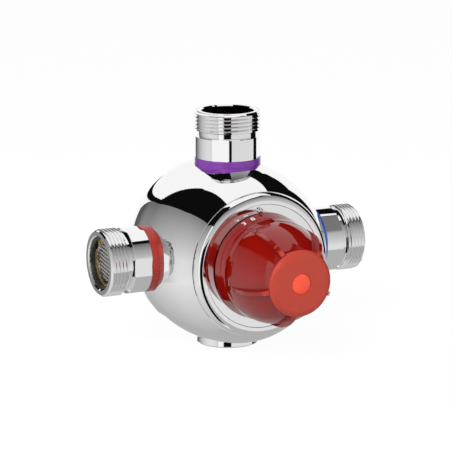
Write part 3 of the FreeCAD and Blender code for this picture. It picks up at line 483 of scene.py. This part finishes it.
def threaded_union(name):
    """A union's solid with its plain end and its collar drawn in, and the finer ones round them."""
    axis = AXES[name]
    low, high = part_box(f"{name}_union")
    mouth = max(low.dot(axis), high.dot(axis))
    ring_low, ring_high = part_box(f"{name}_ring")
    collar_start = max(ring_low.dot(axis), ring_high.dot(axis))
    collar_end = mouth - THREAD_LENGTH - UNDERCUT_LENGTH * MM
    bm = thread_bmesh(axis, mouth)
    bm.from_mesh(nodes[f"{name}_union"].data)
    bmesh.ops.remove_doubles(bm, verts=bm.verts, dist=WELD)
    drawn_in(bm, axis, mouth - THREAD_LENGTH, mouth, CORE_RADIUS, CORE_RADIUS)
    drawn_in(bm, axis, collar_start, collar_end, UNDERCUT_EDGE * MM, (COLLAR_BORE + COLLAR_EDGE) * MM)
    start, end = collar_start / MM + RING_GROWTH[name], collar_end / MM
    collar = spun(bm, axis, [
        (start, COLLAR_BORE), (start, COLLAR_RADIUS - COLLAR_EDGE), (start + COLLAR_EDGE, COLLAR_RADIUS),
        (end - COLLAR_EDGE, COLLAR_RADIUS), (end, COLLAR_RADIUS - COLLAR_EDGE), (end, COLLAR_BORE),
    ])
    press_flats(collar, axis, COLLAR_TURN[name], COLLAR_FLAT, COLLAR_FLATS)
    piece = finish_mesh(bm, f"{name}_union_threaded", chrome, union_crisp)
    piece.data.materials.append(thread_chrome)
    return place(piece, "housing", "chrome", f"{name}_union")


for name in AXES:
    union_piece = threaded_union(name)
    print(union_piece.name, len(union_piece.data.polygons), "faces")

# %% [markdown]
# ## The inlet rings
#
# The two coloured inlet rings are wider in the photograph than the solids have them. Each one is
# copied, and the half away from the ball is moved out, which keeps the section's corners as they are.

# %% Widen the inlet rings
def wider_ring(name, material, slot):
    """An inlet's ring, as its solid but with the outer end moved out."""
    axis = AXES[name]
    low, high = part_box(f"{name}_ring")
    middle = (low + high).dot(axis) / 2
    bm = bmesh.new()
    bm.from_mesh(nodes[f"{name}_ring"].data)
    bmesh.ops.remove_doubles(bm, verts=bm.verts, dist=WELD)
    outer = [vert for vert in bm.verts if vert.co.dot(axis) > middle]
    bmesh.ops.translate(bm, verts=outer, vec=axis * (RING_GROWTH[name] * MM))
    return place(finish_mesh(bm, f"{name}_ring_wide", material), "housing", slot, f"{name}_ring")


for name, material, slot in (("hot", red_plastic, "red_ring"), ("cold", blue_plastic, "blue_ring")):
    print(wider_ring(name, material, slot).name)

# %% [markdown]
# ## The filters
#
# Behind the brass snap ring in each inlet lies a filter: a disc of woven steel wire in a pressed rim.
# An image or a bump could stand for the weave, but the light falls through it, so every wire is a
# thin rod that waves over and under the wires that cross it. A wire starts as a plain six-sided rod,
# its long edges are divided, and each point is then shifted by a sine.

# %% Weave the filters
MESH_PITCH = 1.7
WIRE_RADIUS = 0.30
MESH_RADIUS = 13.3
MESH_DEPTH = 0.9
MESH_TURN = 38.0
WIRE_SIDES = 6
CUTS_A_PITCH = 4
RIM_STEPS = 96
WIRE_CRISP = math.radians(70)
RIM_SECTION = [(-2.4, 12.8), (-2.4, 14.8), (0.0, 14.8), (0.0, 13.8), (-1.2, 13.8), (-1.2, 12.8)]


def wire(offset, phase, quarter):
    """One waving wire at an offset from the middle, along X or a quarter turn from it."""
    half = math.sqrt(MESH_RADIUS ** 2 - offset ** 2)
    rod = bmesh.new()
    bmesh.ops.create_cone(
        rod, cap_ends=True, segments=WIRE_SIDES, radius1=WIRE_RADIUS, radius2=WIRE_RADIUS, depth=2 * half,
        matrix=Matrix.Rotation(math.pi / 2, 4, "Y"))
    long_edges = [edge for edge in rod.edges if abs(edge.verts[0].co.x - edge.verts[1].co.x) > half]
    cuts = max(1, round(2 * half / MESH_PITCH * CUTS_A_PITCH))
    bmesh.ops.subdivide_edges(rod, edges=long_edges, cuts=cuts)
    for vert in rod.verts:
        vert.co.z += WIRE_RADIUS * math.cos(math.pi * vert.co.x / MESH_PITCH + phase)
        vert.co.y += offset
    turn = Matrix.Rotation(quarter * math.pi / 2, 3, "Z")
    bmesh.ops.rotate(rod, verts=rod.verts, cent=(0, 0, 0), matrix=turn)
    return rod


def weave(bm):
    """Two sets of wires that cross at right angles."""
    count = int(MESH_RADIUS / MESH_PITCH)
    carry = bpy.data.meshes.new("wire")
    for quarter in range(2):
        for index in range(-count, count + 1):
            rod = wire(index * MESH_PITCH, math.pi * (index + quarter), quarter)
            rod.to_mesh(carry)
            bm.from_mesh(carry)
            rod.free()
    bpy.data.meshes.remove(carry)


def woven_filter(name):
    """An inlet's filter, the weave and its rim."""
    axis = AXES[name]
    low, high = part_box(f"{name}_filter")
    top = max(low.dot(axis), high.dot(axis))
    bm = bmesh.new()
    weave(bm)
    turn = axis.to_track_quat("Z", "Y").to_matrix() @ Matrix.Rotation(math.radians(MESH_TURN), 3, "Z")
    bmesh.ops.transform(bm, matrix=turn.to_4x4() @ Matrix.Scale(MM, 4), verts=bm.verts)
    bmesh.ops.translate(bm, verts=bm.verts, vec=axis * (top - MESH_DEPTH * 2 * MM))
    spun(bm, axis, [(top / MM + height, radius) for height, radius in RIM_SECTION], RIM_STEPS)
    piece = finish_mesh(bm, f"{name}_filter_woven", mesh_steel, WIRE_CRISP)
    return place(piece, "housing", "steel", f"{name}_filter")


for name in ("hot", "cold"):
    filter_piece = woven_filter(name)
    print(filter_piece.name, len(filter_piece.data.polygons), "faces")

# %% [markdown]
# ## The numbers on the knob's skirt
#
# Two white figures on the skirt stand beside the index pin. Printed figures could be a texture, but a
# texture needs an image. They are made from Blender's own font instead, as thin plates that
# are bent round the skirt: each point's place along the line becomes an angle round the knob's axis.

# %% Print the numbers
FIGURE_HEIGHT = 3.9 * MM
CAPITAL_SHARE = 0.7
FIGURE_THICKNESS = 0.03 * MM
SKIRT_LOW = (51.8 * MM, 33.3 * MM)
SKIRT_HIGH = (62.0 * MM, 31.9 * MM)
FIGURE_DEPTH = 55.3 * MM
FIGURES = {"3": 118.0, "8": 107.0}


def skirt_radius(depth):
    """How far the skirt's skin is from the knob's axis at a depth."""
    share = (depth - SKIRT_LOW[0]) / (SKIRT_HIGH[0] - SKIRT_LOW[0])
    return SKIRT_LOW[1] + (SKIRT_HIGH[1] - SKIRT_LOW[1]) * share


def figure(text, angle):
    """One figure, bent round the skirt, with its top towards the collar."""
    curve = bpy.data.curves.new("figure", "FONT")
    curve.body = text
    curve.size = FIGURE_HEIGHT / CAPITAL_SHARE
    curve.align_x = "CENTER"
    curve.align_y = "CENTER"
    curve.extrude = FIGURE_THICKNESS
    holder = bpy.data.objects.new("figure", curve)
    mesh = bpy.data.meshes.new_from_object(holder)
    bpy.data.objects.remove(holder)
    bm = bmesh.new()
    bm.from_mesh(mesh)
    bmesh.ops.subdivide_edges(bm, edges=bm.edges, cuts=1)
    for vert in bm.verts:
        across, up, lift = vert.co
        depth = FIGURE_DEPTH - up
        radius = skirt_radius(depth) + lift + FIGURE_THICKNESS
        turn = math.radians(angle) - across / radius
        vert.co = (radius * math.cos(turn), -depth, radius * math.sin(turn))
    return bm


for text, angle in FIGURES.items():
    print_piece = finish_mesh(figure(text, angle), f"skirt_figure_{text}", white_ink)
    place(print_piece, "knob", "white_plastic")
print(len(FIGURES), "figures")

# %% [markdown]
# ## The floor, the backdrop and the light
#
# Chrome shows its surroundings, so the studio is part of its look. The world is plain white to
# the camera and in reflections, and weaker as a light. The floor is the same white to the camera, and
# a thin share of its own shading is left in it, which keeps the shadow under the valve. A white box
# of real walls would do it too, but would take much longer to render.

# %% Build the white world
WORLD_LIGHT = 0.5


def seen_directly(tree):
    """One for rays from the camera, from mirrors and through glass, and nought for plain light."""
    rays = tree.nodes.new("ShaderNodeLightPath")
    result = rays.outputs["Is Camera Ray"]
    for other in ("Is Glossy Ray", "Is Transmission Ray"):
        either = tree.nodes.new("ShaderNodeMath")
        either.operation = "MAXIMUM"
        tree.links.new(result, either.inputs[0])
        tree.links.new(rays.outputs[other], either.inputs[1])
        result = either.outputs["Value"]
    return result


def scaled(tree, value, low, high):
    """A value from nought to one, stretched to low and high."""
    stretch = tree.nodes.new("ShaderNodeMapRange")
    stretch.inputs["To Min"].default_value = low
    stretch.inputs["To Max"].default_value = high
    tree.links.new(value, stretch.inputs["Value"])
    return stretch.outputs["Result"]


world = bpy.data.worlds.new("studio")
bpy.context.scene.world = world
world.use_nodes = True
background = world.node_tree.nodes["Background"]
background.inputs["Color"].default_value = (1, 1, 1, 1)
world_strength = scaled(world.node_tree, seen_directly(world.node_tree), WORLD_LIGHT, 1.0)
world.node_tree.links.new(world_strength, background.inputs["Strength"])
print("white world, as a light", WORLD_LIGHT)

# %% Lay the floor
SHADOW_SHARE = 0.10
FLOOR_WHITE = 1.04
FLOOR_HALF = 3.0

floor_material, floor_shader = new_material("pale floor", Base_Color=(0.8, 0.8, 0.8, 1), Roughness=0.9)
floor_tree = floor_material.node_tree
white = add_node(floor_material, "ShaderNodeEmission")
white.inputs["Strength"].default_value = FLOOR_WHITE
blend = add_node(floor_material, "ShaderNodeMixShader")
white_share = scaled(floor_tree, seen_directly(floor_tree), 0.0, 1.0 - SHADOW_SHARE)
link(floor_material, white_share, blend.inputs["Fac"])
link(floor_material, floor_shader.outputs["BSDF"], blend.inputs[1])
link(floor_material, white.outputs["Emission"], blend.inputs[2])
link(floor_material, blend.outputs["Shader"], floor_tree.nodes["Material Output"].inputs["Surface"])

floor_mesh = bmesh.new()
bmesh.ops.create_grid(floor_mesh, x_segments=1, y_segments=1, size=FLOOR_HALF)
bmesh.ops.translate(floor_mesh, verts=floor_mesh.verts, vec=(0, 0, cad_box[0][2]))
floor = finish_mesh(floor_mesh, "floor", floor_material)
floor.visible_glossy = False
floor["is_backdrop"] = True
print("floor at", cad_box[0][2])

# %% [markdown]
# ## What the chrome sees
#
# A photographer surrounds a chrome object with large white panels and black cards: the panels make it
# bright, and the cards and the gaps between panels draw the dark bands that show its form. The cards
# here hang two metres away. Only mirrors see them, so they neither shade the valve nor hide it. Each
# one is a strip between two heights, given as angles seen from the valve, and it shines as brightly
# as its panel should look in the mirror.

# %% Helpers that hang cards
CARD_DISTANCE = 2.0
CARD_STEP = 4


def toward(azimuth, elevation, distance=CARD_DISTANCE):
    """A place in a direction: azimuth 0 is in front of the knob, and 90 is to the right."""
    rise = math.radians(elevation)
    turn = math.radians(azimuth)
    flat = math.cos(rise) * distance
    return Vector((flat * math.sin(turn), -flat * math.cos(turn), distance * math.sin(rise)))


def slant(top, middle):
    """The height of a panel's straight edge: it is highest in the middle and sinks to both sides."""
    def height(azimuth):
        return math.degrees(math.atan(math.tan(math.radians(top)) * math.cos(math.radians(azimuth - middle))))
    return height


def glowing(name, strength):
    """A material that shines evenly."""
    material = bpy.data.materials.new(name)
    material.use_nodes = True
    shine = add_node(material, "ShaderNodeEmission")
    shine.inputs["Strength"].default_value = strength
    link(material, shine.outputs["Emission"], material.node_tree.nodes["Material Output"].inputs["Surface"])
    return material, shine


def card(name, start, end, low, high, material, distance=CARD_DISTANCE):
    """A strip of card from one azimuth to another, between two heights."""
    bm = bmesh.new()
    columns = max(1, round((end - start) / CARD_STEP))
    last = None
    for index in range(columns + 1):
        azimuth = start + (end - start) * index / columns
        ends = [level(azimuth) if callable(level) else level for level in (low, high)]
        column = [bm.verts.new(toward(azimuth, elevation, distance)) for elevation in ends]
        if last:
            bm.faces.new((last[0], column[0], column[1], last[1]))
        last = column
    piece = finish_mesh(bm, name, material)
    piece.visible_camera = False
    piece.visible_diffuse = False
    piece.visible_shadow = False
    piece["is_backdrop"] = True
    return piece


print("card helpers ready")

# %% Hang the black cards
DARK = 0.004
PANEL_FOOT = -26
WALL_MIDDLE = -88


def behind(level):
    """A slanting height behind the wall, level at an azimuth of -155."""
    return lambda azimuth: level + (azimuth + 155) * 0.6


black_card, _ = glowing("black card", DARK)
wall_top = slant(45, WALL_MIDDLE)
lamp_left_edge = slant(76, WALL_MIDDLE)
lamp_right_edge = slant(57, 100)
for name, start, end, low, high in (
    ("gap_above_the_wall", -160, -44, wall_top, lamp_left_edge),
    ("gap_behind_the_wall", -196, -160, behind(20), behind(24)),
    ("gap_to_the_right", 76, 116, -30, lamp_right_edge),
    ("gap_above_the_right_panel", 116, 148, 28, lamp_right_edge),
    ("gap_above_the_front_panel", -44, 76, 59, 66),
):
    card(name, start, end, low, high, black_card)
    print(name)

# %% [markdown]
# The panels aren't evenly bright. Each one fades from one height to another or from one side to the
# other, which gives the long soft gradients on the ball.

# %% Hang the shaded panels
def along(material, axis, start, end, low, high):
    """A number that runs from low to high between two places on one Object axis."""
    place_of = add_node(material, "ShaderNodeTexCoord")
    split = add_node(material, "ShaderNodeSeparateXYZ")
    run = add_node(material, "ShaderNodeMapRange")
    for socket, value in (("From Min", start), ("From Max", end), ("To Min", low), ("To Max", high)):
        run.inputs[socket].default_value = value
    link(material, place_of.outputs["Object"], split.inputs["Vector"])
    link(material, split.outputs[axis], run.inputs["Value"])
    return run.outputs["Result"]


wall_white, wall_shine = glowing("wall panel", 1.0)
wall_strength = add_node(wall_white, "ShaderNodeMath", operation="MULTIPLY")
link(wall_white, along(wall_white, "X", -0.5, -1.9, 0.12, 0.95), wall_strength.inputs[0])
link(wall_white, along(wall_white, "Z", -0.1, 1.4, 0.95, 0.34), wall_strength.inputs[1])
link(wall_white, wall_strength.outputs["Value"], wall_shine.inputs["Strength"])
card("left_wall", -176, -60, PANEL_FOOT, wall_top, wall_white)

table_white, table_shine = glowing("table top", 1.0)
link(table_white, along(table_white, "X", 0.0, -1.9, 0.46, 0.86), table_shine.inputs["Strength"])
card("table_top", -180, -40, -89, PANEL_FOOT, table_white)
card("table_top_right", -12, 180, -89, PANEL_FOOT, table_white)

front_white, front_shine = glowing("front panel", 1.0)
link(front_white, along(front_white, "Z", -0.4, 1.72, 0.80, 0.14), front_shine.inputs["Strength"])
card("front_panel", -44, 76, PANEL_FOOT, 59, front_white)

gap_grey, gap_shine = glowing("camera gap", 1.0)
link(gap_grey, along(gap_grey, "Z", 0.2, 0.9, DARK, 0.40), gap_shine.inputs["Strength"])
card("camera_gap", -40, -12, -70, 27, gap_grey, CARD_DISTANCE - 0.05)
print("five shaded panels")

# %% Set the lamps
def soft_lamp(name, azimuth, elevation, distance, width, height, watts):
    """A large lamp that hangs in a direction from the valve and faces it. Mirrors don't see it."""
    lamp = bpy.data.lights.new(name, "AREA")
    lamp.shape = "RECTANGLE"
    lamp.size = width
    lamp.size_y = height
    lamp.energy = watts
    obj = bpy.data.objects.new(name, lamp)
    bpy.context.scene.collection.objects.link(obj)
    turn = Matrix.Rotation(math.radians(azimuth), 4, "Z")
    tilt = Matrix.Rotation(math.radians(90 - elevation), 4, "X")
    obj.matrix_world = turn @ tilt @ Matrix.Translation((0, 0, distance))
    obj.visible_glossy = False
    return obj


soft_lamp("key_lamp", -50, 35, 1.2, 0.9, 0.6, 14)
soft_lamp("fill_lamp", 35, 25, 1.4, 0.5, 0.9, 5)
print("two lamps")

# %% [markdown]
# ## The finished size
#
# The last line prints the finished model's box, to set beside the solids' box printed at the start.

# %% Note the sizes and finish
print("finished box", plain_box())
